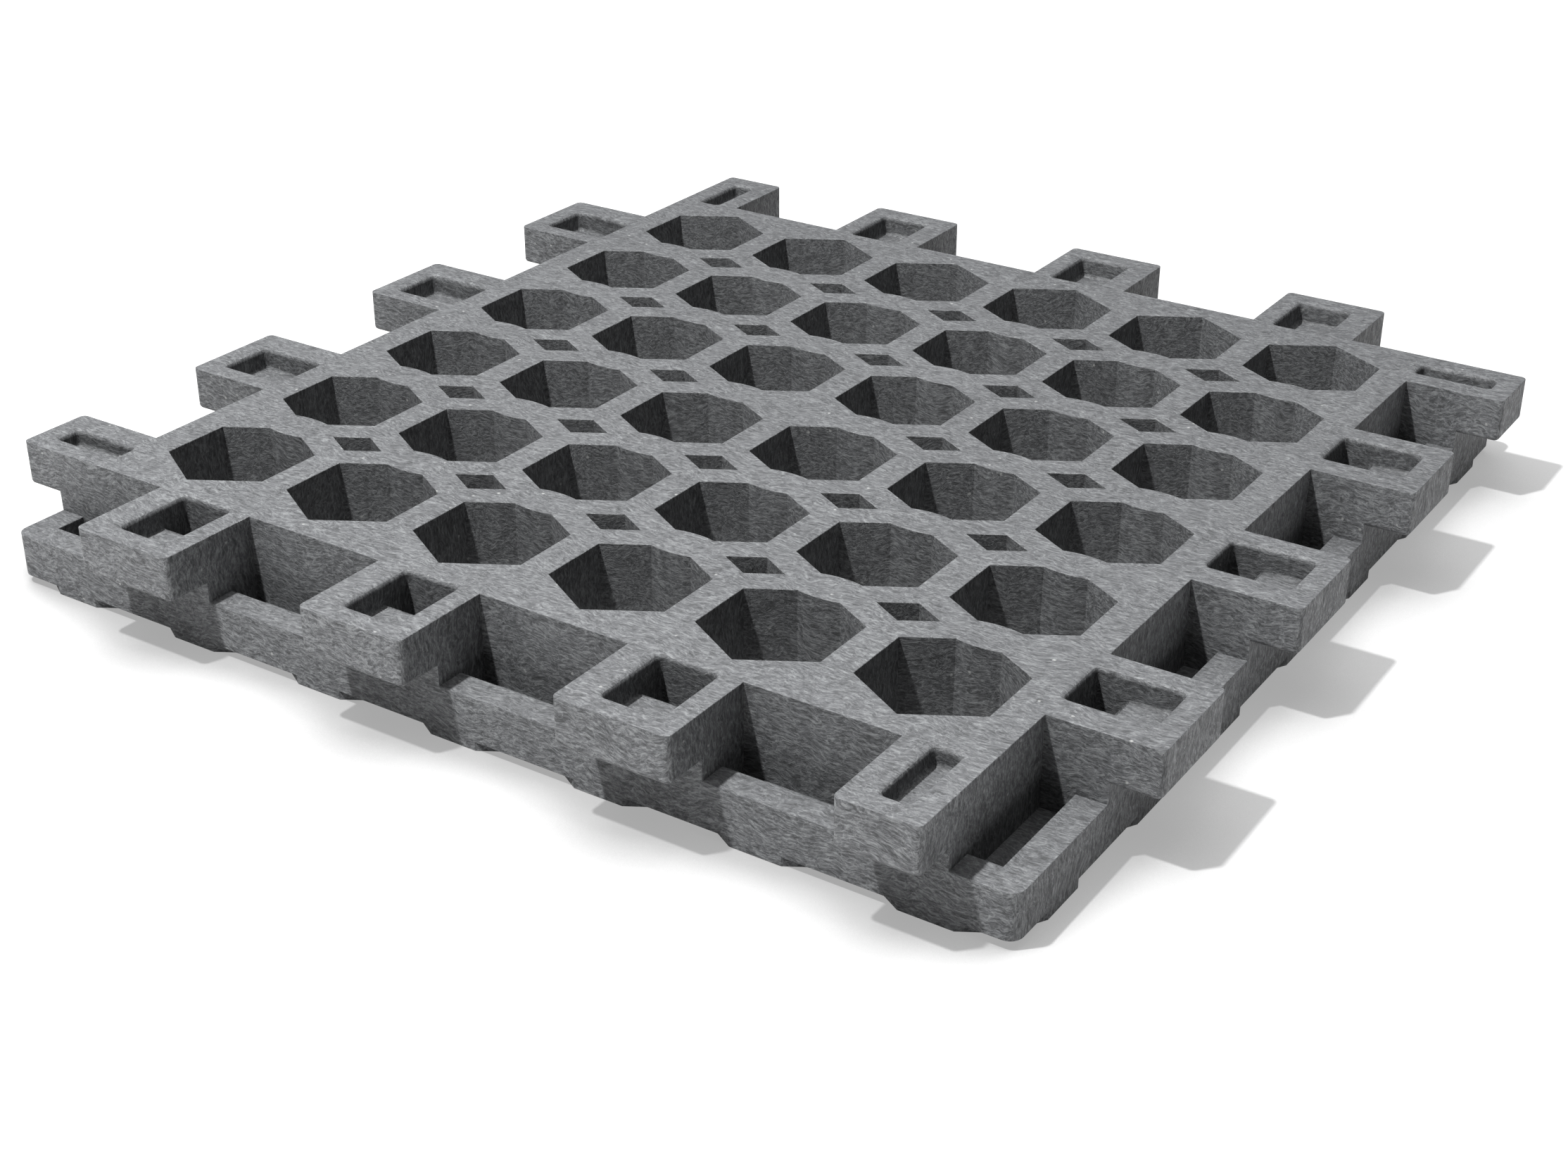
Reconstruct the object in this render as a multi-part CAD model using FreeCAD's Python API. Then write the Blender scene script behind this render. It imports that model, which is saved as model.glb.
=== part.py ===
"""Grass paver grid, moulded in one piece from recycled plastic.

A square block of 6 by 6 hexagonal cells stands inside a low skirt. Square lugs reach out
over the skirt on all four sides. The sides are quarter turns of one another, so that the
lugs of one grid drop between the lugs of the next.

Lengths are in millimetres. The origin lies at the middle of the underside, Z points up,
and the upper face is the one that is walked and driven on.
"""
import FreeCAD, Part
import os
from math import cos, hypot, radians, sin, tan
from FreeCAD import Vector

# Lattice of the cells
cells_per_side = 6
cell_pitch = 80.0            # centre to centre, along X and along Y
cell_across_flats = 63.7     # hexagon with its points towards +Y and -Y
saddle_radius = 43.0         # arc that blunts the points between two rows of cells
saddle_throat = 29.0         # middle of a cell to the middle of that arc
diamond_across_flats = 16.2  # drain hole where four cells meet
edge_wall = 17.75            # flat of an outermost cell to the block's face

# Heights
height = 59.4                # underside to walking face
skirt_height = 26.9          # underside to the top of the skirt's rim
gutter_floor = 15.1          # underside to the bottom of the gutter inside the rim
foot_height = 4.4            # how far the notches are cut up into the underside

# Skirt, in plan
gutter_width = 15.6          # block's face to the rim
rim_thickness = 14.6
rim_corner_radius = 6.5

# Notches in the underside of the rim
notch_depth = 15.7           # from the rim's outer face inwards
notch_slope = 30.0           # degrees between a notch's side and the rim

# Lugs
lug_overhang = 22.5          # rim's outer face to a lug's end
lug_thickness = 23.3
lug_pitch = 140.0
wide_lugs = 3
wide_lug_width = 58.8
wide_lug_offset = -35.0      # middle of the middle wide lug from the middle of the side
narrow_lug_width = 39.4      # flush with the block's end
lug_corner_radius = 3.0
lug_lip_radius = 2.4         # round under a lug's end

# Pockets in the lugs
pocket_end_wall = 12.2       # left standing at a lug's end
pocket_width = 30.2
pocket_leading_wall = 12.2   # on the side that the quarter turns run towards
pocket_ledge_depth = 12.4    # walking face to the ledge over the rim
pocket_corner_radius = 2.6
pocket_mouth_bevel = 1.5     # softens the edge round a mouth
slot_width = 12.9
slot_outer_wall = 12.1
slot_depth = 9.2

# How far a cutting tool runs past the face that it opens
overrun = 1.0

# Lengths that differ by less are taken as equal
closeness = 1e-6

lattice = [(i - (cells_per_side - 1) / 2) * cell_pitch for i in range(cells_per_side)]
nodes = [(i - (cells_per_side - 2) / 2) * cell_pitch for i in range(cells_per_side - 1)]
block_half = lattice[-1] + cell_across_flats / 2 + edge_wall
rim_inner_half = block_half + gutter_width
rim_outer_half = rim_inner_half + rim_thickness
lug_reach = rim_outer_half + lug_overhang
lug_underside = height - lug_thickness


def prism(corners, bottom, top):
    """Upright prism over a closed outline of plan corners."""
    outline = Part.makePolygon([Vector(x, y, bottom) for x, y in corners + corners[:1]])
    return Part.Face(outline).extrude(Vector(0, 0, top - bottom))


def box(x0, x1, y0, y1, z0, z1):
    """Box between two opposite corners."""
    return Part.makeBox(x1 - x0, y1 - y0, z1 - z0, Vector(x0, y0, z0))


def is_close(length, other):
    """Whether two lengths are the same."""
    return abs(length - other) < closeness


def upright_edges(shape, x_values, y_values):
    """Upright straight edges of a shape that stand at the given plan corners."""
    found = []
    for edge in shape.Edges:
        middle = edge.CenterOfMass
        ends = [vertex.Point for vertex in edge.Vertexes]
        stands = is_close(hypot(ends[0].x - ends[-1].x, ends[0].y - ends[-1].y), 0)
        at_x = any(is_close(middle.x, x) for x in x_values)
        at_y = any(is_close(middle.y, y) for y in y_values)
        if stands and at_x and at_y:
            found.append(edge)
    return found


def level_edges(shape, z):
    """Edges of a shape that lie in the level plane at a given height."""
    return [edge for edge in shape.Edges
            if is_close(edge.BoundBox.ZMin, z) and is_close(edge.BoundBox.ZMax, z)]


def rounded_box(x0, x1, y0, y1, z0, z1, radius):
    """Box whose four upright edges are rounded."""
    plain = box(x0, x1, y0, y1, z0, z1)
    return plain.makeFillet(radius, upright_edges(plain, (x0, x1), (y0, y1)))


def quarter_turns(shape):
    """The shape and its copies on the other three sides."""
    turned = []
    for quarter in range(4):
        copy = shape.copy()
        copy.rotate(Vector(0, 0, 0), Vector(0, 0, 1), 90 * quarter)
        turned.append(copy)
    return turned


def skirt():
    """Low rounded square under the block, with a gutter between the block and its rim."""
    slab = rounded_box(-rim_outer_half, rim_outer_half, -rim_outer_half, rim_outer_half,
                       0, skirt_height, rim_corner_radius)
    gutter = box(-rim_inner_half, rim_inner_half, -rim_inner_half, rim_inner_half,
                 gutter_floor, skirt_height + overrun)
    return slab.cut(gutter)


def block():
    """Square block that holds the cells."""
    return box(-block_half, block_half, -block_half, block_half, 0, height)


def lug(x0, x1):
    """Lug on the front side: an upper finger and the web that carries it on the rim.

    Seen from the side it is a step: full height out to the rim's face, and above the
    step the finger runs on to the lug's end, with soft corners.
    """
    finger = box(x0, x1, -lug_reach, -block_half, lug_underside, height)
    finger = finger.makeFillet(lug_corner_radius, upright_edges(finger, (x0, x1), (-lug_reach,)))
    lip = [edge for edge in level_edges(finger, lug_underside)
           if edge.BoundBox.YMax < -lug_reach + lug_corner_radius + closeness]
    finger = finger.makeFillet(lug_lip_radius, lip)
    web = box(x0, x1, -rim_outer_half, -block_half, gutter_floor, height)
    return finger.fuse(web)


def lug_middles():
    """X of the middle of each wide lug on the front side."""
    return [wide_lug_offset + (i - (wide_lugs - 1) / 2) * lug_pitch for i in range(wide_lugs)]


def front_lugs():
    """The wide lugs of the front side, and the narrow lug at its end."""
    lugs = [lug(x - wide_lug_width / 2, x + wide_lug_width / 2) for x in lug_middles()]
    lugs.append(lug(block_half - narrow_lug_width, block_half))
    return lugs


def wide_pocket(x_middle):
    """Pocket of a wide lug: a ledge over the rim, and a shaft down to the gutter's level."""
    x1 = x_middle + wide_lug_width / 2 - pocket_leading_wall
    x0 = x1 - pocket_width
    y0 = -lug_reach + pocket_end_wall
    ledge = rounded_box(x0, x1, y0, -block_half, height - pocket_ledge_depth, height,
                        pocket_corner_radius)
    shaft = box(x0, x1, -rim_inner_half, -block_half, gutter_floor,
                height - pocket_ledge_depth + overrun)
    inner = upright_edges(shaft, (x0, x1), (-block_half,))
    return ledge.fuse(shaft.makeFillet(pocket_corner_radius, inner))


def narrow_slot():
    """Shallow slot in the narrow lug."""
    x1 = block_half - slot_outer_wall
    y0 = -lug_reach + pocket_end_wall
    return rounded_box(x1 - slot_width, x1, y0, -block_half, height - slot_depth, height,
                       pocket_corner_radius)


def front_pockets():
    """Tools that cut the pockets of the front side."""
    return [wide_pocket(x) for x in lug_middles()] + [narrow_slot()]


def cell_outline(x, y):
    """Hexagon about a cell's middle, with its points in +Y and -Y."""
    flat = cell_across_flats / 2
    point = flat / cos(radians(30))
    corners = [(flat, point / 2), (0, point), (-flat, point / 2),
               (-flat, -point / 2), (0, -point), (flat, -point / 2)]
    return [(x + dx, y + dy) for dx, dy in corners]


def cell(x, y, blunt_front, blunt_back):
    """Tool for one cell; where it backs on another row, an arc blunts its point."""
    tool = prism(cell_outline(x, y), -overrun, height + overrun)
    for is_blunt, side in ((blunt_front, -1), (blunt_back, 1)):
        if is_blunt:
            saddle = Part.makeCylinder(saddle_radius, height + 4 * overrun,
                                       Vector(x, y + side * (saddle_throat + saddle_radius),
                                              -2 * overrun))
            tool = tool.cut(saddle)
    return tool


def cells():
    """Tools for all the cells; only the outermost points are left sharp."""
    last = cells_per_side - 1
    return [cell(x, y, row > 0, row < last)
            for row, y in enumerate(lattice) for x in lattice]


def diamonds():
    """Tools for the drain holes where four cells meet; the middle one stays closed."""
    flat = diamond_across_flats / 2
    along_x = flat / cos(radians(60))
    along_y = flat / sin(radians(60))
    outline = [(along_x, 0), (0, along_y), (-along_x, 0), (0, -along_y)]
    return [prism([(x + dx, y + dy) for dx, dy in outline], -overrun, height + overrun)
            for x in nodes for y in nodes if (x, y) != (0, 0)]


def front_notches():
    """Tools for the three-cornered notches that leave a foot under the rim at each node."""
    tip = -rim_outer_half + notch_depth
    length = notch_depth + overrun
    spread = length / tan(radians(notch_slope))
    middles = [lattice[0] - cell_pitch] + lattice + [lattice[-1] + cell_pitch]
    return [prism([(x, tip), (x - spread, tip - length), (x + spread, tip - length)],
                  -overrun, foot_height) for x in middles]


def mouth_edges(solid):
    """Edges round the mouths of all the pockets, in the walking face."""
    mouths = []
    for pocket in front_pockets():
        mouths += [tool.BoundBox for tool in quarter_turns(pocket)]
    return [edge for edge in level_edges(solid, height)
            if any(mouth.isInside(edge.CenterOfMass) for mouth in mouths)]


def paver_grid():
    """The whole grid as one solid."""
    added = [block()]
    for shape in front_lugs():
        added += quarter_turns(shape)
    removed = cells() + diamonds()
    for shape in front_pockets() + front_notches():
        removed += quarter_turns(shape)
    solid = skirt().multiFuse(added).cut(Part.makeCompound(removed)).removeSplitter()
    return solid.makeChamfer(pocket_mouth_bevel, mouth_edges(solid))


def main():
    """Build the grid and write its STEP file."""
    os.makedirs("parts", exist_ok=True)
    grid = paver_grid()
    solids = grid.Solids
    print("solids", len(solids), "valid", grid.isValid(),
          "volume", round(grid.Volume), "box", grid.BoundBox)
    solids[0].exportStep("parts/paver_grid.step")


main()
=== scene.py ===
"""Looks of a grass paver grid: one slab moulded from mixed recycled plastic, on a pale floor.

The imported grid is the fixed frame. Its node is replaced by a copy of the same shape with
the small rounds that a mould leaves, and that copy is dressed as rough recycled plastic.
Everything is in metres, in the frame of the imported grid.
"""

import logging
import math
from dataclasses import dataclass
from enum import Enum

import bmesh
import bpy
import numpy as np
from mathutils import Matrix, Vector


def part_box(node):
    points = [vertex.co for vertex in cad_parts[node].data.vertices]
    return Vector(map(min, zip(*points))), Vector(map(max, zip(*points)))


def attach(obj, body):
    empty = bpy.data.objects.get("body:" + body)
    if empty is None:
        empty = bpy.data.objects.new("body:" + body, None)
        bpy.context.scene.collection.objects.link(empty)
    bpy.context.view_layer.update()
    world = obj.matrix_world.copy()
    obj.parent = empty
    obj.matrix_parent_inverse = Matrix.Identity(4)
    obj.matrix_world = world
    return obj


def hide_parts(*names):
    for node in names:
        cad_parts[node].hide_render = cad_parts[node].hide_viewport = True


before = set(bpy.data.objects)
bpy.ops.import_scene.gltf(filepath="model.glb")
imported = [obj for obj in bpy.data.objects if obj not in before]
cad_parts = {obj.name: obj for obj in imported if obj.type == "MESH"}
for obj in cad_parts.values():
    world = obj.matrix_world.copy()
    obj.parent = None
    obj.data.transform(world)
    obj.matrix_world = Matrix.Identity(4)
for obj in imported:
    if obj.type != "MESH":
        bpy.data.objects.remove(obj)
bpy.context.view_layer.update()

log = logging.getLogger("grass_paver_grid")

MM = 0.001
PHOTO_WIDTH_PX = 2228
NODE = "paver_grid"
BODY = "root"

Socket = float | tuple[float, ...] | bpy.types.NodeSocket


def linear(hex_colour: str) -> tuple[float, float, float, float]:
    """Turns an sRGB hex colour into linear light with full opacity.

    Args:
        hex_colour: Six hex digits, with or without a leading hash.

    Returns:
        Red, green and blue in linear light, and an opacity of 1.
    """
    digits = hex_colour.lstrip("#")
    shares = [int(digits[i:i + 2], 16) / 255 for i in (0, 2, 4)]
    toned = [s / 12.92 if s <= 0.04045 else ((s + 0.055) / 1.055) ** 2.4 for s in shares]
    return (*toned, 1.0)


def per_metre(feature_mm: float) -> float:
    """Scale of a noise whose features are as large as given, for coordinates in metres."""
    return 1.0 / (feature_mm * MM)


def add_node(
    tree: bpy.types.NodeTree,
    kind: str,
    settings: dict[str, object] | None = None,
    inputs: dict[str | int, Socket] | None = None,
) -> bpy.types.Node:
    """Adds a shader node, sets its properties, and fills or links its inputs.

    Args:
        tree: Node tree that gets the node.
        kind: Blender's name for the kind of node.
        settings: Properties of the node, by name.
        inputs: Values for its inputs, or sockets to link to them, by name or number.

    Returns:
        The new node.
    """
    node = tree.nodes.new(kind)
    for name, value in (settings or {}).items():
        setattr(node, name, value)
    for key, value in (inputs or {}).items():
        if isinstance(value, bpy.types.NodeSocket):
            tree.links.new(value, node.inputs[key])
        else:
            node.inputs[key].default_value = value
    return node


class Facing(Enum):
    """How a pattern is laid on a face: which axes run along, across and into the grain."""

    UP = ("X", "Y", "Z")
    FRONT = ("X", "Z", "Y")
    SIDE = ("Z", "Y", "X")


@dataclass(frozen=True)
class RecycledPlastic:
    """Mixed recycled polyolefin, ground to flakes and compression moulded.

    Half-molten flakes smear along the flow, so the eye sees a dark-grey body with short
    paler fibres that run in one direction and curl into small whorls, a soft mottle over
    some centimetres, a few whitish flecks of stiffer plastic, and a dull surface that the
    mould left slightly rough. Level faces and fronts show the flow lengthwise, and the
    sides that face along X show it upright.
    """

    name: str = "recycled_plastic"
    dark: str = "#424344"
    body: str = "#5f6062"
    light: str = "#808283"
    fleck: str = "#b4b5b3"
    dark_at: float = 0.38
    light_at: float = 0.68
    middle_tone: float = 0.52
    fibre_mm: float = 1.2
    fibre_stretch: float = 0.25
    fibre_share: float = 0.8
    strands: tuple[tuple[float, float, float], ...] = ((3.2, 0.5, 0.07), (1.7, 0.45, 0.07))
    strand_thickness: float = 0.045
    mottle_mm: float = 5.0
    mottle_stretch: float = 0.55
    mottle_share: float = 0.14
    unevenness_mm: float = 60.0
    unevenness_share: float = 0.06
    swirl_mm: float = 36.0
    swirl_reach_mm: float = 16.0
    curl_mm: float = 8.0
    curl_reach_mm: float = 3.5
    fleck_spacing_mm: float = 9.0
    fleck_share: float = 0.25
    fleck_core: float = 0.04
    fleck_edge: float = 0.11
    fleck_strength: float = 0.6
    square_on: float = 0.7
    contrast_up: float = 0.95
    contrast_sides: float = 1.25
    shelter_reach_mm: float = 70.0
    shelter_samples: int = 4
    sheltered_shade: float = 0.5
    skirt_paleness: float = 1.03
    walking_height: float = 59.4 * MM
    roughness: float = 0.62
    roughness_spread: float = 0.08
    dull_until: float = 0.36
    glossy_from: float = 0.66
    ior: float = 1.49
    specular_level: float = 0.35
    relief_mm: float = 0.35

    def _value(
        self, tree: bpy.types.NodeTree, operation: str, *terms: Socket,
    ) -> bpy.types.NodeSocket:
        """Adds a sum, product or comparison of numbers and gives its result."""
        inputs = dict(enumerate(terms))
        return add_node(tree, "ShaderNodeMath", {"operation": operation}, inputs).outputs[0]

    def _vector(
        self, tree: bpy.types.NodeTree, operation: str, *terms: Socket,
    ) -> bpy.types.NodeSocket:
        """Adds a sum or product of vectors and gives its result."""
        inputs = dict(enumerate(terms))
        return add_node(tree, "ShaderNodeVectorMath", {"operation": operation}, inputs).outputs[0]

    def _noise(
        self, tree: bpy.types.NodeTree, place: bpy.types.NodeSocket, feature_mm: float,
        detail: float, share: float, output: str = "Fac",
    ) -> bpy.types.NodeSocket:
        """Adds a cloudy noise.

        Args:
            tree: Node tree of the material.
            place: Coordinates that the noise is read at.
            feature_mm: Size of its largest features.
            detail: Number of finer octaves.
            share: How strong each finer octave is beside the one before.
            output: Which of the node's outputs is wanted.

        Returns:
            The noise's output socket.
        """
        inputs = {
            "Vector": place, "Scale": per_metre(feature_mm), "Detail": detail, "Roughness": share,
        }
        return add_node(tree, "ShaderNodeTexNoise", {}, inputs).outputs[output]

    def _grain(self, tree: bpy.types.NodeTree, place: bpy.types.NodeSocket) -> bpy.types.NodeSocket:
        """Turns object coordinates into coordinates along, across and into the grain.

        Args:
            tree: Node tree of the material.
            place: Object coordinates.

        Returns:
            The coordinates, with their axes chosen by where the face looks.
        """
        normal = add_node(tree, "ShaderNodeNewGeometry").outputs["True Normal"]
        looks = add_node(tree, "ShaderNodeSeparateXYZ", {}, {0: normal})
        axes = add_node(tree, "ShaderNodeSeparateXYZ", {}, {0: place})
        laid = {}
        for facing in Facing:
            laid[facing] = add_node(tree, "ShaderNodeCombineXYZ", {}, {
                number: axes.outputs[axis] for number, axis in enumerate(facing.value)
            }).outputs[0]
        chosen = laid[Facing.FRONT]
        for facing, axis in ((Facing.UP, "Z"), (Facing.SIDE, "X")):
            steepness = self._value(tree, "ABSOLUTE", looks.outputs[axis])
            chosen = add_node(tree, "ShaderNodeMix", {"data_type": "VECTOR"}, {
                0: self._value(tree, "GREATER_THAN", steepness, self.square_on),
                4: chosen, 5: laid[facing],
            }).outputs[1]
        return chosen

    def _pushed(
        self, tree: bpy.types.NodeTree, place: bpy.types.NodeSocket, feature_mm: float,
        reach_mm: float,
    ) -> bpy.types.NodeSocket:
        """Pushes coordinates about by a noise: place + (noise - one half) * reach.

        Args:
            tree: Node tree of the material.
            place: Coordinates to push.
            feature_mm: Size of the swirls.
            reach_mm: How far a point can be pushed, end to end.

        Returns:
            The pushed coordinates.
        """
        noise = self._noise(tree, place, feature_mm, 2.0, 0.5, "Color")
        centred = self._vector(tree, "SUBTRACT", noise, (0.5, 0.5, 0.5))
        reach = (reach_mm * MM,) * 3
        return self._vector(tree, "ADD", place, self._vector(tree, "MULTIPLY", centred, reach))

    def _strands(
        self, tree: bpy.types.NodeTree, flow: bpy.types.NodeSocket, feature_mm: float,
        stretch: float,
    ) -> bpy.types.NodeSocket:
        """Makes thin curling lines, where a noise stretched along the grain is near its middle.

        Args:
            tree: Node tree of the material.
            flow: Coordinates along, across and into the grain.
            feature_mm: Size of the noise across the grain.
            stretch: How much the noise is squeezed along the grain before it is read.

        Returns:
            How much of a strand shows, from 0 to 1.
        """
        squeezed = self._vector(tree, "MULTIPLY", flow, (stretch, 1.0, 1.0))
        noise = self._noise(tree, squeezed, feature_mm, 1.0, 0.5)
        off = self._value(tree, "ABSOLUTE", self._value(tree, "SUBTRACT", noise, 0.5))
        return add_node(tree, "ShaderNodeMapRange", {}, {
            "Value": off, "From Max": self.strand_thickness, "To Min": 1.0, "To Max": 0.0,
        }).outputs[0]

    def _tone(self, tree: bpy.types.NodeTree, place: bpy.types.NodeSocket) -> bpy.types.NodeSocket:
        """Mixes fibres, strands, mottle and unevenness into one tone about one half.

        Args:
            tree: Node tree of the material.
            place: Object coordinates.

        Returns:
            The tone, mostly between 0.3 and 0.7.
        """
        swirled = self._pushed(tree, self._grain(tree, place), self.swirl_mm, self.swirl_reach_mm)
        flow = self._pushed(tree, swirled, self.curl_mm, self.curl_reach_mm)
        squeezed = self._vector(tree, "MULTIPLY", flow, (self.fibre_stretch, 1.0, 1.0))
        fibres = self._noise(tree, squeezed, self.fibre_mm, 4.0, 0.75)
        broad = self._vector(tree, "MULTIPLY", flow, (self.mottle_stretch, 1.0, 1.0))
        mottle = self._noise(tree, broad, self.mottle_mm, 2.0, 0.5)
        unevenness = self._noise(tree, place, self.unevenness_mm, 2.0, 0.5)
        tone = self._value(tree, "MULTIPLY", fibres, self.fibre_share)
        tone = self._value(tree, "MULTIPLY_ADD", mottle, self.mottle_share, tone)
        tone = self._value(tree, "MULTIPLY_ADD", unevenness, self.unevenness_share, tone)
        for feature_mm, stretch, share in self.strands:
            strand = self._strands(tree, flow, feature_mm, stretch)
            tone = self._value(tree, "MULTIPLY_ADD", strand, share, tone)
        # The pattern is fainter on the walking face than on the sides. Both shares are fitted
        # to the photograph's contrast, and the cause isn't known.
        facing = add_node(tree, "ShaderNodeNewGeometry").outputs["True Normal"]
        upward = add_node(tree, "ShaderNodeSeparateXYZ", {}, {0: facing}).outputs["Z"]
        spread = add_node(tree, "ShaderNodeMapRange", {}, {
            "Value": upward, "To Min": self.contrast_sides, "To Max": self.contrast_up,
        }).outputs[0]
        away = self._value(tree, "SUBTRACT", tone, self.middle_tone)
        return self._value(tree, "MULTIPLY_ADD", away, spread, self.middle_tone)

    def _flecks(
        self, tree: bpy.types.NodeTree, place: bpy.types.NodeSocket,
    ) -> bpy.types.NodeSocket:
        """Makes flecks in the few cells of a Voronoi pattern whose own number is high.

        Args:
            tree: Node tree of the material.
            place: Object coordinates.

        Returns:
            How much of a fleck shows, from 0 to 1.
        """
        ragged = self._pushed(tree, place, self.fleck_spacing_mm / 8, self.fleck_spacing_mm / 8)
        cells = add_node(tree, "ShaderNodeTexVoronoi", {}, {
            "Vector": ragged, "Scale": per_metre(self.fleck_spacing_mm), "Randomness": 1.0,
        })
        parts = add_node(tree, "ShaderNodeSeparateColor", {}, {0: cells.outputs["Color"]})
        chosen = self._value(tree, "GREATER_THAN", parts.outputs[0], 1.0 - self.fleck_share)
        near = add_node(tree, "ShaderNodeMapRange", {}, {
            "Value": cells.outputs["Distance"],
            "From Min": self.fleck_edge, "From Max": self.fleck_core,
        }).outputs[0]
        return self._value(tree, "MULTIPLY", chosen, near)

    def make(self) -> bpy.types.Material:
        """Builds the material.

        Returns:
            The material, on Object coordinates.
        """
        material = bpy.data.materials.new(self.name)
        material.use_nodes = True
        tree = material.node_tree
        tree.nodes.clear()
        place = add_node(tree, "ShaderNodeTexCoord").outputs["Object"]
        tone = self._tone(tree, place)
        ramp = add_node(tree, "ShaderNodeValToRGB", {}, {"Fac": tone})
        stops = ramp.color_ramp.elements
        stops[0].position, stops[0].color = self.dark_at, linear(self.dark)
        stops[1].position, stops[1].color = self.light_at, linear(self.light)
        middle = stops.new(self.middle_tone)
        middle.color = linear(self.body)
        flecked = add_node(tree, "ShaderNodeMix", {"data_type": "RGBA"}, {
            0: self._value(tree, "MULTIPLY", self._flecks(tree, place), self.fleck_strength),
            6: ramp.outputs["Color"], 7: linear(self.fleck),
        }).outputs[2]
        # Painted light: the skirt is a shade paler than the walking face, a slight change of tone
        # with height fitted to the photograph's tones under these lights. It stands for no known
        # property of the plastic.
        level = add_node(tree, "ShaderNodeSeparateXYZ", {}, {0: place}).outputs["Z"]
        paleness = add_node(tree, "ShaderNodeMapRange", {}, {
            "Value": level, "From Max": self.walking_height, "To Min": self.skirt_paleness,
        }).outputs[0]
        # Painted shade in hollows: walls deep in a cell are darker in the photograph than these
        # lights make them. This share is fitted to that. It puts shading into the base colour, also
        # when exported.
        within_grid = {"samples": self.shelter_samples, "only_local": True}
        openness = add_node(tree, "ShaderNodeAmbientOcclusion", within_grid, {
            "Distance": self.shelter_reach_mm * MM,
        }).outputs["AO"]
        painted_hollow_shade = add_node(tree, "ShaderNodeMapRange", {}, {
            "Value": openness, "To Min": self.sheltered_shade,
        }).outputs[0]
        colour = add_node(tree, "ShaderNodeVectorMath", {"operation": "SCALE"}, {
            0: flecked, "Scale": self._value(tree, "MULTIPLY", paleness, painted_hollow_shade),
        }).outputs[0]
        dulled = add_node(tree, "ShaderNodeMapRange", {}, {
            "Value": tone, "From Min": self.dull_until, "From Max": self.glossy_from,
            "To Min": self.roughness + self.roughness_spread,
            "To Max": self.roughness - self.roughness_spread,
        }).outputs[0]
        relief = add_node(tree, "ShaderNodeBump", {}, {
            "Strength": 1.0, "Distance": self.relief_mm * MM, "Height": tone,
        }).outputs[0]
        shader = add_node(tree, "ShaderNodeBsdfPrincipled", {}, {
            "Base Color": colour, "Roughness": dulled, "Normal": relief,
            "IOR": self.ior, "Specular IOR Level": self.specular_level,
        })
        add_node(tree, "ShaderNodeOutputMaterial", {}, {"Surface": shader.outputs[0]})
        return material


@dataclass(frozen=True)
class LightTable:
    """White acrylic sheet of a light table: matt, and softly lit from below.

    Its glow grows away from the middle, so that the sheet reads as plain white and the
    shadows of what lies on it stay pale. Close to the edge of what lies on it, a painted
    contact shadow turns the white down to grey. Glow and grey are fitted to the photograph's floor.
    """

    name: str = "light_table"
    sheet: str = "#c0c0c0"
    painted_shadow_grey: str = "#5e5e5e"
    close_reach: float = 0.2
    close_from: float = 0.5
    close_samples: int = 8
    roughness: float = 0.9
    specular_level: float = 0.1
    glow_near: float = 0.38
    glow_far: float = 1.0
    near: float = 0.4
    far: float = 1.2

    def make(self) -> bpy.types.Material:
        """Builds the material.

        Returns:
            The material of the floor.
        """
        material = bpy.data.materials.new(self.name)
        material.use_nodes = True
        tree = material.node_tree
        tree.nodes.clear()
        place = add_node(tree, "ShaderNodeTexCoord").outputs["Object"]
        away = add_node(tree, "ShaderNodeVectorMath", {"operation": "LENGTH"}, {0: place})
        glow = add_node(tree, "ShaderNodeMapRange", {"interpolation_type": "SMOOTHSTEP"}, {
            "Value": away.outputs["Value"], "From Min": self.near, "From Max": self.far,
            "To Min": self.glow_near, "To Max": self.glow_far,
        }).outputs[0]
        # Painted contact shadow: the sheet's colour darkens to grey where what lies on it hems it
        # in.
        nearby = {"samples": self.close_samples}
        openness = add_node(tree, "ShaderNodeAmbientOcclusion", nearby, {
            "Distance": self.close_reach,
        }).outputs["AO"]
        share = add_node(tree, "ShaderNodeMapRange", {}, {
            "Value": openness, "From Min": self.close_from,
        }).outputs[0]
        sheet_with_painted_shadow = add_node(tree, "ShaderNodeMix", {"data_type": "RGBA"}, {
            0: share, 6: linear(self.painted_shadow_grey), 7: linear(self.sheet),
        }).outputs[2]
        shader = add_node(tree, "ShaderNodeBsdfPrincipled", {}, {
            "Base Color": sheet_with_painted_shadow, "Roughness": self.roughness,
            "Specular IOR Level": self.specular_level,
            "Emission Color": (1.0, 1.0, 1.0, 1.0), "Emission Strength": glow,
        })
        add_node(tree, "ShaderNodeOutputMaterial", {}, {"Surface": shader.outputs[0]})
        return material


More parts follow.
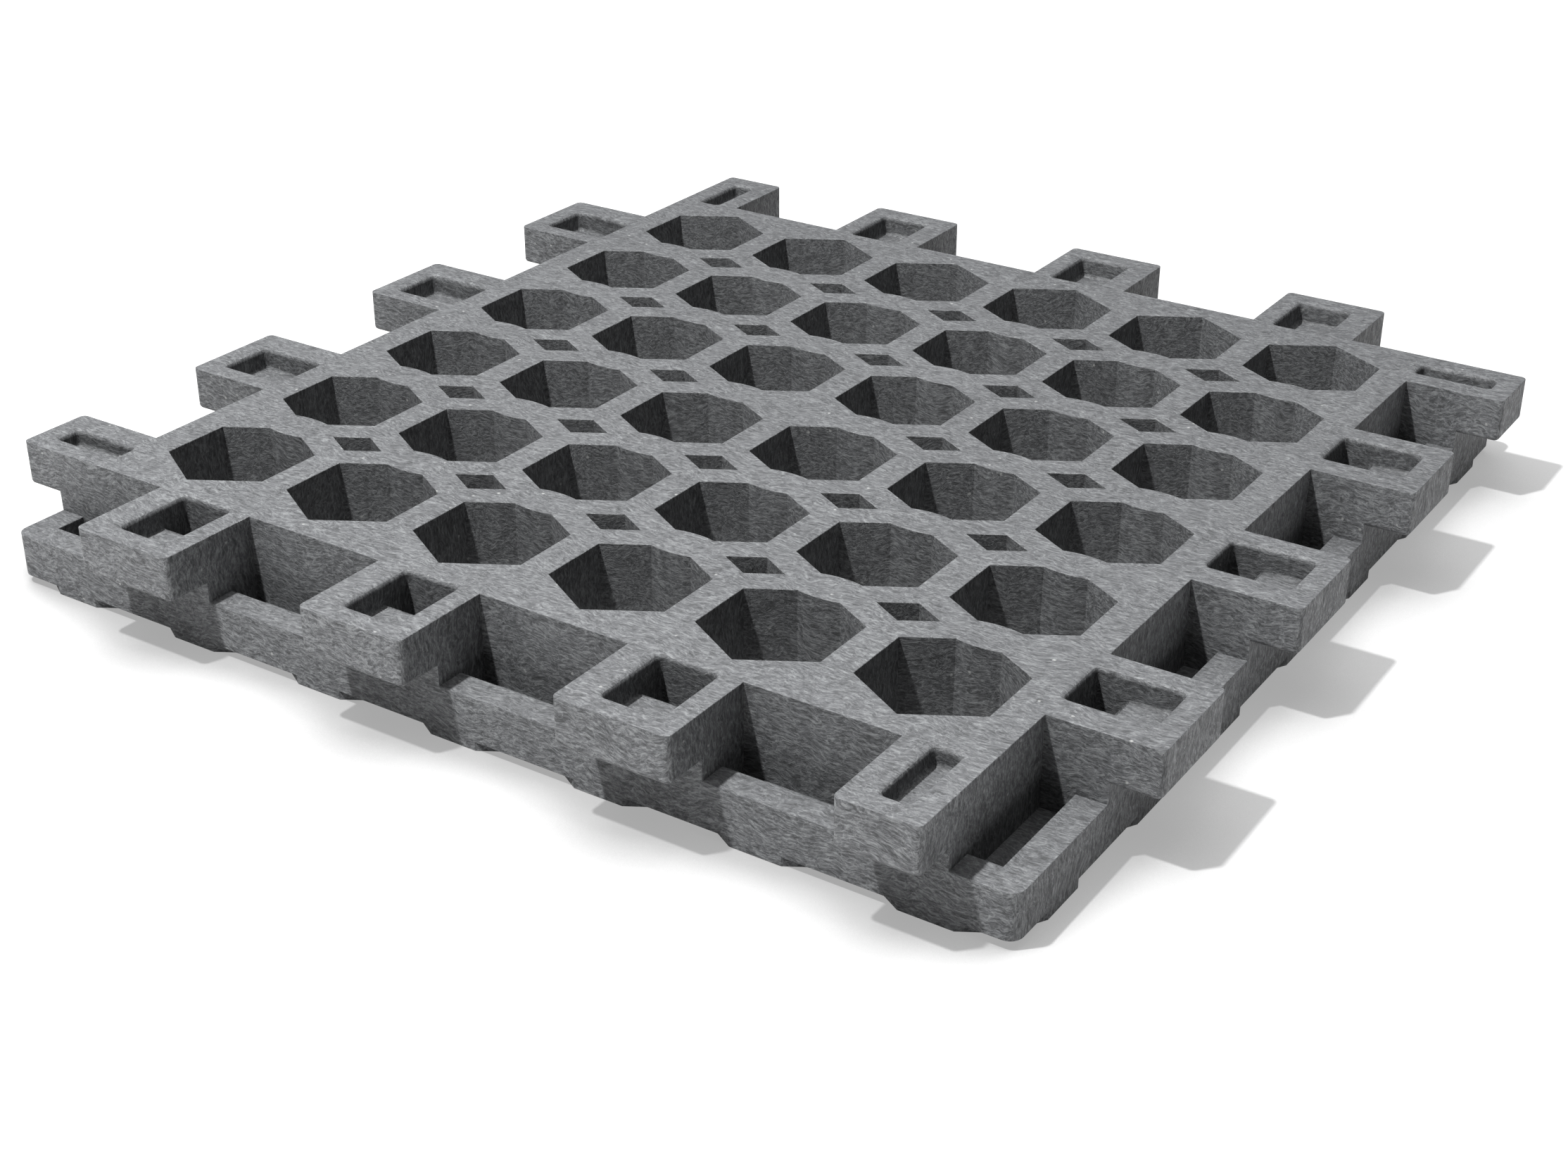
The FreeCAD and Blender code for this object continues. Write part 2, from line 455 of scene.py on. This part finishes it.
@dataclass
class MouldedGrid:
    """The grid itself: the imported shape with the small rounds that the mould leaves.

    The arrises are barely broken, the mouths of the pockets are rounded, and a cove runs
    round the level floors inside the pockets.
    """

    finish: RecycledPlastic
    walking_height: float
    arris_width: float = 0.35 * MM
    mouth_round: float = 1.0 * MM
    cove_width: float = 2.2 * MM
    mouth_bevel: float = 1.5 * MM
    ledge_depth: float = 12.4 * MM
    slot_depth: float = 9.2 * MM
    hole_spacing: float = 40.0 * MM
    rows_each_way: int = 5
    slot_line: float = 231.0 * MM
    pocket_line: float = 270.0 * MM
    steps: int = 3
    sharp_from: float = math.radians(30)
    mouth_turn: float = math.radians(60)
    strip_width: float = 5.0 * MM
    merge_gap: float = 0.001 * MM
    flat_within: float = math.radians(0.2)
    level_within: float = 0.05 * MM
    level_normal: float = 0.999

    def _rounding(self, edge: bmesh.types.BMEdge) -> float:
        """Tells how wide the round on an edge is.

        Args:
            edge: An edge of the merged shape.

        Returns:
            Width of the round in metres, or 0 where the edge stays as it is.
        """
        turn = edge.calc_face_angle(0.0)
        if turn < self.sharp_from:
            return 0.0
        depths = [self.walking_height - vertex.co.z for vertex in edge.verts]
        if not edge.is_convex:
            on_floor = any(
                all(abs(depth - level) < self.level_within for depth in depths)
                for level in (self.ledge_depth, self.slot_depth)
            )
            return self.cove_width if on_floor else 0.0
        is_high = max(depths) < self.mouth_bevel + self.level_within
        return self.mouth_round if is_high and turn < self.mouth_turn else self.arris_width

    def _cut_through_holes(self, shell: bmesh.types.BMesh) -> None:
        """Cuts the walking face and the underside along lines that pass through every hole.

        A face can't have a hole in it, so without these lines the seams that join a hole
        to its face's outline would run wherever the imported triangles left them.

        Args:
            shell: The merged shape, which gets the lines as seams.
        """
        steps = range(-self.rows_each_way, self.rows_each_way + 1)
        lines = [step * self.hole_spacing for step in steps]
        lines += [side * line for line in (self.slot_line, self.pocket_line) for side in (-1, 1)]
        for across in (Vector((1.0, 0.0, 0.0)), Vector((0.0, 1.0, 0.0))):
            for line in lines:
                level = [face for face in shell.faces if self._is_pierced(face)]
                edges = {edge for face in level for edge in face.edges}
                corners = {corner for face in level for corner in face.verts}
                made = bmesh.ops.bisect_plane(
                    shell, geom=[*corners, *edges, *level], dist=self.merge_gap,
                    plane_co=across * line, plane_no=across,
                )
                for item in made["geom_cut"]:
                    if isinstance(item, bmesh.types.BMEdge):
                        item.seam = True

    def _is_pierced(self, face: bmesh.types.BMFace) -> bool:
        """Tells whether a face belongs to the walking face or the underside.

        Args:
            face: A face of the merged shape.

        Returns:
            True for the level faces that the holes pass through.
        """
        height = face.verts[0].co.z
        is_end = min(abs(height), abs(height - self.walking_height)) < self.level_within
        return is_end and abs(face.normal.z) > self.level_normal

    def _is_curved(self, face: bmesh.types.BMFace) -> bool:
        """Tells whether a face is one narrow strip of a rounded wall or corner.

        Args:
            face: A face of the merged shape.

        Returns:
            True for strips that are shaded smooth with their neighbours.
        """
        turns = [edge.calc_face_angle(0.0) for edge in face.edges]
        longest = max(edge.calc_length() for edge in face.edges)
        is_narrow = face.calc_area() < self.strip_width * longest
        return is_narrow and any(self.flat_within < turn < self.sharp_from for turn in turns)

    def _merged(self, source: bpy.types.Object) -> bpy.types.Mesh:
        """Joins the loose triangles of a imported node, clears the seams and weighs the edges.

        Args:
            source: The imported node's object.

        Returns:
            A new mesh of the same shape.
        """
        shell = bmesh.new()
        shell.from_mesh(source.data)
        bmesh.ops.remove_doubles(shell, verts=shell.verts, dist=self.merge_gap)
        self._cut_through_holes(shell)
        bmesh.ops.dissolve_limit(
            shell, angle_limit=self.flat_within, verts=shell.verts, edges=shell.edges,
            delimit={"SEAM"},
        )
        weight = shell.edges.layers.float.new("bevel_weight_edge")
        for edge in shell.edges:
            edge[weight] = self._rounding(edge) / self.cove_width
        for face in shell.faces:
            face.smooth = self._is_curved(face)
        mesh = bpy.data.meshes.new("moulded_grid")
        shell.to_mesh(mesh)
        shell.free()
        return mesh

    def _rounded(self, piece: bpy.types.Object) -> bpy.types.Mesh:
        """Rounds the weighed edges, then shades the rounds smooth and the flat faces flat.

        Args:
            piece: Object that holds the merged shape.

        Returns:
            A new mesh with the rounds in it, dressed in the finish.
        """
        material = self.finish.make()
        piece.data.materials.clear()
        for _ in range(2):
            piece.data.materials.append(material)
        rounds = piece.modifiers.new("rounds", "BEVEL")
        rounds.width = self.cove_width
        rounds.segments = self.steps
        rounds.limit_method = "WEIGHT"
        rounds.use_clamp_overlap = False
        # The rounds come out in the second slot, which tells them from the faces beside them.
        rounds.material = 1
        shaped = piece.evaluated_get(bpy.context.evaluated_depsgraph_get())
        mesh = bpy.data.meshes.new_from_object(shaped)
        slots: dict[tuple[int, int], set[int]] = {}
        for polygon in mesh.polygons:
            for key in polygon.edge_keys:
                slots.setdefault(key, set()).add(polygon.material_index)
        for edge in mesh.edges:
            edge.use_edge_sharp = len(slots[edge.key]) > 1
        for polygon in mesh.polygons:
            polygon.use_smooth = polygon.use_smooth or polygon.material_index == 1
            polygon.material_index = 0
        mesh.materials.pop()
        piece.modifiers.clear()
        return mesh

    def build(self) -> bpy.types.Object:
        """Builds the grid and dresses it.

        Returns:
            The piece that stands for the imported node.
        """
        merged = self._merged(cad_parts[NODE])
        piece = bpy.data.objects.new("moulded_grid", merged)
        bpy.context.collection.objects.link(piece)
        piece.data = self._rounded(piece)
        bpy.data.meshes.remove(merged)
        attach(piece, BODY)
        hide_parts(NODE)
        return piece


@dataclass
class Studio:
    """Pale floor, one small lamp from the upper left, and a large soft box overhead."""

    floor_radius: float = 90.0
    floor_corners: int = 64
    lamp_place: tuple[float, float, float] = (-0.39, -0.95, 2.17)
    lamp_width: float = 0.1
    lamp_power: float = 101.0
    box_height: float = 2.2
    box_width: float = 3.0
    box_power: float = 44.0
    surround: str = "#ffffff"
    surround_strength: float = 0.04

    def build_floor(self, finish: LightTable) -> bpy.types.Object:
        """Lays the floor: a round disc, point = radius * (cos angle, sin angle), at height 0.

        Args:
            finish: Material of the floor.

        Returns:
            The floor.
        """
        angle = np.linspace(0, 2 * np.pi, self.floor_corners, endpoint=False)
        rim = np.stack([np.cos(angle), np.sin(angle), np.zeros_like(angle)], axis=1)
        mesh = bpy.data.meshes.new("floor")
        mesh.from_pydata((rim * self.floor_radius).tolist(), [], [list(range(len(rim)))])
        mesh.materials.append(finish.make())
        floor = bpy.data.objects.new("floor", mesh)
        bpy.context.collection.objects.link(floor)
        return floor

    def _hang(self, name: str, place: Vector, width: float, power: float, shape: str) -> None:
        """Hangs a flat light, aimed at the middle of the floor.

        Args:
            name: Name of the light.
            place: Where it hangs.
            width: Its diameter or side.
            power: Its power in watts.
            shape: Blender's name for its outline.
        """
        light = bpy.data.lights.new(name, "AREA")
        light.shape = shape
        light.size = width
        light.energy = power
        holder = bpy.data.objects.new(name, light)
        holder.location = place
        holder.rotation_mode = "QUATERNION"
        holder.rotation_quaternion = (-place).to_track_quat("-Z", "Y")
        bpy.context.collection.objects.link(holder)

    def build_light(self) -> None:
        """Hangs the lamp and the soft box, and lights the surround faintly."""
        self._hang("lamp", Vector(self.lamp_place), self.lamp_width, self.lamp_power, "DISK")
        overhead = Vector((0.0, 0.0, self.box_height))
        self._hang("soft_box", overhead, self.box_width, self.box_power, "SQUARE")
        world = bpy.data.worlds.new("surround")
        world.use_nodes = True
        tree = world.node_tree
        tree.nodes.clear()
        glow = add_node(tree, "ShaderNodeBackground", {}, {
            "Color": linear(self.surround), "Strength": self.surround_strength,
        })
        add_node(tree, "ShaderNodeOutputWorld", {}, {"Surface": glow.outputs[0]})
        bpy.context.scene.world = world


@dataclass(frozen=True)
class PhotographView:
    """Camera at the photograph's viewing angle.

    It looks along a line that passes the middle of the walking face at a small distance:
    `aside` to the right and `above` upwards, both across the line of sight.
    """

    azimuth: float = math.radians(33.222)
    elevation: float = math.radians(27.597)
    roll: float = math.radians(0.127)
    distance: float = 1.19350
    aside: float = -0.00795
    above: float = -0.08981
    focal_px: float = 3271.4
    sensor_width_mm: float = 36.0
    clip_start: float = 0.05
    clip_end: float = 200.0

    def build(self, walking_height: float) -> bpy.types.Object:
        """Places the camera.

        Args:
            walking_height: Height of the walking face over the floor.

        Returns:
            The scene's camera.
        """
        az, el = self.azimuth, self.elevation
        back = Vector((math.sin(az) * math.cos(el), -math.cos(az) * math.cos(el), math.sin(el)))
        right = Vector((math.cos(az), math.sin(az), 0.0))
        up = back.cross(right)
        turned_right = right * math.cos(self.roll) + up * math.sin(self.roll)
        turned_up = up * math.cos(self.roll) - right * math.sin(self.roll)
        middle = Vector((0.0, 0.0, walking_height))
        place = middle + back * self.distance + turned_right * self.aside + turned_up * self.above
        lens = bpy.data.cameras.new("photograph_view")
        lens.sensor_width = self.sensor_width_mm
        lens.lens = self.sensor_width_mm * self.focal_px / PHOTO_WIDTH_PX
        lens.clip_start, lens.clip_end = self.clip_start, self.clip_end
        camera = bpy.data.objects.new("photograph_view", lens)
        turn = Matrix((turned_right, turned_up, back)).transposed()
        camera.matrix_world = Matrix.Translation(place) @ turn.to_4x4()
        bpy.context.collection.objects.link(camera)
        bpy.context.scene.camera = camera
        return camera


def main() -> None:
    """Builds the studio, the camera and the grid, and reports each."""
    logging.basicConfig(level=logging.INFO, format="%(name)s: %(message)s")
    bpy.context.scene.view_settings.view_transform = "Standard"
    walking_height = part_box(NODE)[1][2]
    camera = PhotographView().build(walking_height)
    log.info("%s with a %.1f mm lens", camera.name, camera.data.lens)
    studio = Studio()
    floor = studio.build_floor(LightTable())
    studio.build_light()
    log.info("%s, lamp and soft box placed", floor.name)
    grid = MouldedGrid(RecycledPlastic(), walking_height).build()
    log.info("%s with %d faces, rounds among them", grid.name, len(grid.data.polygons))


if __name__ == "__main__":
    main()
